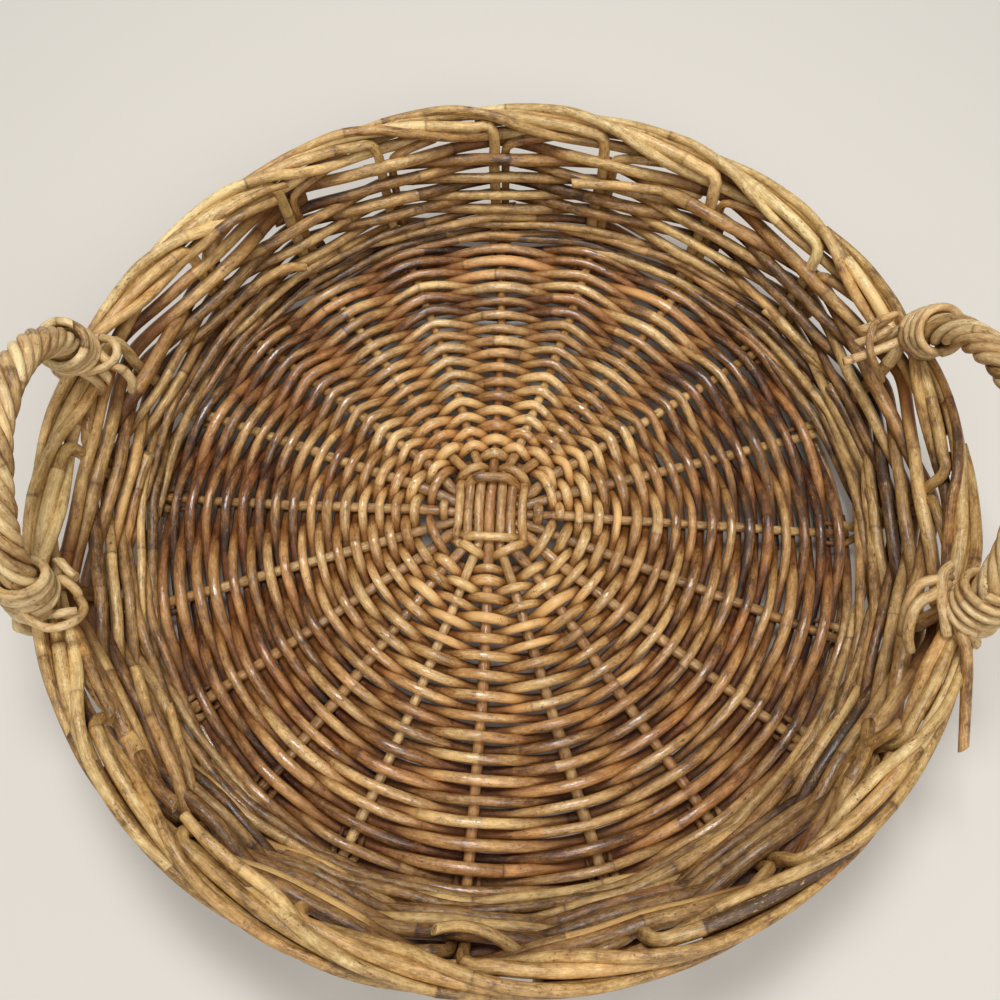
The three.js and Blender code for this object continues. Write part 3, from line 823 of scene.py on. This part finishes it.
# The handles: six canes twisted round a thicker core into a rope, which arches from one foot on the border
# to the other. The left handle stands upright and the right one leans out.
rope_thickness = 17.0
rope_strands = 6
rope_lay = 54.0
strand_thickness = 5.5
strand_press = 0.75
core_share = 0.42
rope_seat = 84.0
foot_height = 6.4
handles = {
    "left": {"rise": 69.5, "lean": 0.0, "feet": {"far": 164.5, "near": 199.0}},
    "right": {"rise": 62.5, "lean": 15.0, "feet": {"near": -19.7, "far": 17.1}},
}
rope_finish = cane_finish("rope_cane", colour(234, 206, 154), colour(212, 176, 118), colour(166, 128, 78),
                          colour(92, 64, 38), colour(255, 206, 162), 0.22, 0.44)


def unit(vectors):
    return vectors / np.linalg.norm(vectors, axis=-1, keepdims=True)


def arch(handle, turn):
    """Points along a handle's arch, by the turn from one foot (0) over the top to the other (pi)"""
    first, second = (at(angle, border_radius, rope_seat) for angle in handle["feet"].values())
    middle = (first + second) / 2
    out = unit((middle - [*rim_middle, 0.0]) * [1.0, 1.0, 0.0])
    turn = np.asarray(turn, float)[..., None]
    upwards = np.array([0.0, 0.0, handle["rise"]]) * np.sin(turn)
    return middle + (first - second) * np.cos(turn) / 2 + out * handle["lean"] * np.sin(turn) ** 2 + upwards


draw = np.random.default_rng(53)
for side, handle in handles.items():
    start = math.asin(foot_height / handle["rise"])
    line = arch(handle, np.linspace(start, math.pi - start, 260))
    outwards = unit((line.mean(axis=0) - [*rim_middle, 0.0]) * [1.0, 1.0, 0.0])
    tangent = unit(np.gradient(line, axis=0))
    away = unit(outwards - tangent * (tangent @ outwards)[:, None])
    across = np.cross(tangent, away)
    along = length_along(line)
    rods = [rod(draw, line, rope_thickness * core_share, 0.5, 0.2, sides=8)]
    for strand in range(rope_strands):
        waves = draw.uniform(0.0, 6.0, 3)
        rounds = strand / rope_strands - along / rope_lay
        turn = rounds * 2 * math.pi + 0.10 * np.sin(along / 17.0 + waves[0])
        reach = (rope_thickness - strand_thickness) / 2 - strand_press + 0.2 * np.sin(along / 13.0 + waves[1])
        path = line + away * (reach * np.cos(turn))[:, None] + across * (reach * np.sin(turn))[:, None]
        one = rod(draw, path, strand_thickness * draw.uniform(0.93, 1.04), draw.uniform(0.05, 0.4),
                  draw.normal(0.08, 0.12), step=2.4, internode=80.0, slant=0.8)
        # painted shade in the grooves of the rope, darker close to the core
        from_core = np.linalg.norm(one["points"][:, None] - line[None, ::4], axis=2).min(axis=1)
        rods.append(paint_shade_and_dust(one, from_core, seen=(4.0, 7.4)))
    cane_piece(f"rope_{side}", rods, rope_finish, [f"handle_rope_{side}"])

# The lashings: at each foot a cane goes once round the border and then winds up round the rope, which
# binds the foot down. Its loose end and a few cut ends are tucked in beside it.
lashing_thickness = 4.3
lashing_pitch = 4.6
lashing_turns = 4.5
lashing_start = 3.0
rope_loop = 10.8
border_loop = 11.0
loop_aside = 8.0
loose_run, loose_tail = 4.8, 4.0
tucked_run, tucked_depth = 3.6, 1.2
border_wrap = (5.0, -256.0)
steps_per_turn = 12


def lashing_line(handle, foot):
    """A lashing from its loose end, round the border, and up round the foot of the rope"""
    second_foot = list(handle["feet"]).index(foot) == 1
    angle = handle["feet"][foot]
    middle = at(angle, border_radius, 0.0)
    sideways = at(angle, border_radius, 0.0, 1.0) - middle
    outward = at(angle, border_radius + 1.0, 0.0) - middle
    points = []
    for turn in np.linspace(*border_wrap, 10):
        radius, height = border_point(turn, border_loop)
        points.append(at(angle, radius, height, loop_aside))
    start = math.asin(foot_height / handle["rise"])
    for step in range(int(lashing_turns * steps_per_turn) + 1):
        rounds = step / steps_per_turn
        turn = start + (lashing_start + lashing_pitch * rounds) / handle["rise"]
        turn = math.pi - turn if second_foot else turn
        centre = arch(handle, turn)
        axis = unit(arch(handle, turn - 0.01 if second_foot else turn + 0.01) - centre)
        across = unit(sideways - axis * sideways.dot(axis))
        away = unit(outward - axis * outward.dot(axis))
        a = rounds * 2 * math.pi
        points.append(centre + rope_loop * (across * math.cos(a) + away * math.sin(a)))
    # both ends run on a little, one loose and the other tucked in
    first = points[0] + unit(points[0] - points[1]) * loose_run
    loose = first - sideways * loose_tail - np.array([0.0, 0.0, loose_tail * 0.2])
    inwards = (centre - points[-1]) / rope_loop
    last = points[-1] + unit(points[-1] - points[-2]) * tucked_run + inwards * tucked_depth
    return [loose, first] + points + [last]


# the loose loops and cut ends at each foot: how thick, how dark, and where they pass, from the middle of
# the rim
loose_ends = {
    ("left", "far"): (
        (4.6, 0.2, ((-202, 72, 92), (-195, 69, 95), (-192, 65, 95), (-192, 60, 94), (-197, 55, 93),
                    (-206, 52, 92))),
        (4.8, 0.1, ((-202, 63, 94), (-194, 57, 91), (-190, 56, 88), (-187, 53, 83), (-189, 51, 76))),
        (4.8, 0.3, ((-204, 59, 90), (-200, 55, 89), (-197, 52, 85))),
    ),
    ("left", "near"): (
        (4.0, 0.15, ((-213, -69, 108), (-208, -76, 102), (-201, -79, 99), (-193, -77, 97), (-189, -73, 95),
                     (-189, -68, 92), (-193, -63, 88))),
        (4.6, 0.1, ((-206, -44, 88), (-200, -50, 88), (-197, -52, 87))),
        (4.6, 0.2, ((-202, -54, 92), (-197, -57, 92), (-194, -60, 90), (-195, -61, 86))),
        (4.4, 0.25, ((-201, -71, 92), (-197, -70, 92), (-193, -69, 90))),
    ),
    ("right", "near"): (
        (5.0, 0.2, ((203, -50, 98), (198, -54, 99), (196, -64, 98), (197, -73, 95), (199, -80, 90))),
        (4.8, 0.25, ((201, -55, 97), (197, -56, 98), (188, -58, 96), (184, -64, 92), (183, -71, 85),
                     (184, -76, 78))),
        (4.8, 0.35, ((201, -58, 96), (195, -62, 97), (186, -67, 95), (183, -74, 91), (183, -80, 86),
                     (186, -84, 79))),
        (4.4, 0.3, ((207, -72, 92), (206, -76, 91), (203, -81, 88))),
        (4.8, 0.15, ((201, -69, 96), (204, -75, 95), (212, -84, 90))),
        (4.6, 0.24, ((202.5, -74, 92), (202.8, -80, 95), (204.2, -87, 94.5), (204.7, -94, 92),
                     (205.4, -107, 84), (205, -128, 74))),
    ),
    ("right", "far"): (
        (3.6, 0.35, ((196, 82, 98), (187, 78, 98), (183, 71, 97), (183, 64, 94), (188, 59, 86),
                     (194, 57, 76))),
        (4.6, 0.35, ((200, 70, 94), (195, 68, 93), (184, 65, 89), (173, 63, 84))),
        (4.6, 0.25, ((195, 77, 92), (189, 74, 90), (180, 72, 87))),
        (4.6, 0.3, ((196, 84, 92), (190, 81, 90), (183, 80, 87))),
    ),
}

draw = np.random.default_rng(59)
for (side, foot), ends in loose_ends.items():
    line = smooth(lashing_line(handles[side], foot), 1.2)
    rods = [rod(draw, line, lashing_thickness, 0.2, 0.12, step=2.0, internode=70.0, slant=0.8)]
    for thickness, tone, places in ends:
        line = smooth(np.array(places, float) + [*rim_middle, 0.0], 1.0)
        rods.append(rod(draw, line, thickness, tone, tone * 0.8, step=1.6, internode=60.0, slant=0.8))
    cane_piece(f"binding_{side}_{foot}", rods, rope_finish, [f"lashing_{side}_{foot}"])

# The floor and the light: a pale warm floor, a soft lamp overhead, a wider one in front, and even light all
# round.
floor_finish = bpy.data.materials.new("floor")
floor_finish.use_nodes = True
floor_shader = floor_finish.node_tree.nodes["Principled BSDF"]
floor_shader.inputs["Base Color"].default_value = colour(226, 222, 215)
floor_shader.inputs["Roughness"].default_value = 0.9
bpy.ops.mesh.primitive_plane_add(size=8.0, location=(0.0, 0.0, -0.0005))
floor = bpy.context.object
floor.name = "floor"
floor.data.materials.append(floor_finish)


def soft_lamp(name, width, depth, watts, place, tilt):
    """A rectangular lamp that looks down, tilted by two angles in degrees"""
    lamp = bpy.data.lights.new(name, "AREA")
    lamp.shape = "RECTANGLE"
    lamp.size = width
    lamp.size_y = depth
    lamp.energy = watts
    lamp.color = (1.0, 0.985, 0.96)
    stand = bpy.data.objects.new(name, lamp)
    stand.location = place
    stand.rotation_euler = (math.radians(tilt[0]), math.radians(tilt[1]), 0.0)
    bpy.context.scene.collection.objects.link(stand)
    return stand


overhead = soft_lamp("overhead", 0.5, 0.36, 12.0, (-0.05, 0.36, 1.45), (-14.0, -2.0))
front = soft_lamp("front", 1.2, 0.8, 9.0, (0.25, -0.8, 1.25), (33.0, 8.0))

even_light = bpy.data.worlds.new("even_light")
even_light.use_nodes = True
background = even_light.node_tree.nodes["Background"]
background.inputs["Color"].default_value = (1.0, 0.985, 0.965, 1.0)
background.inputs["Strength"].default_value = 0.27
bpy.context.scene.world = even_light
